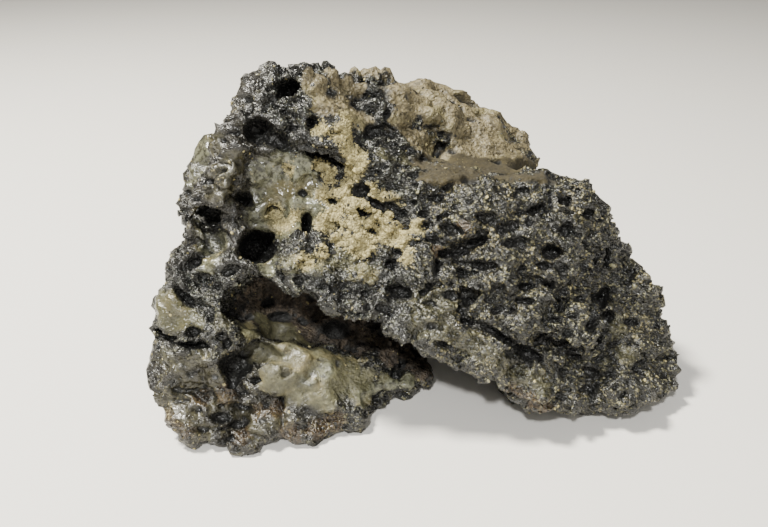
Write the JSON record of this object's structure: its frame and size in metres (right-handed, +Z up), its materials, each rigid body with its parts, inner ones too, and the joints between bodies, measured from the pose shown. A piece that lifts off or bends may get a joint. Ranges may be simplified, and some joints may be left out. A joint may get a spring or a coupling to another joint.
{
  "type": "scoria specimen",
  "caption": "Dark vesicular lava stone with a broken, pitted front, a smooth bubble hollow, a cavity under an arched lip and a rough base it rests on.",
  "frame": {"origin": "under the middle of the stone's box, on the surface it rests on", "axes": "+X along the stone's longest extent, to the right of its broken front; -Y is the broken front; +Z up"},
  "size_m": [0.0504, 0.0332, 0.03],
  "materials": {
    "scoria": "glassy dark grey, pitted, with tan dust"
  },
  "bodies": {
    "root": {"scoria": "scoria"}
  },
  "joints": []
}
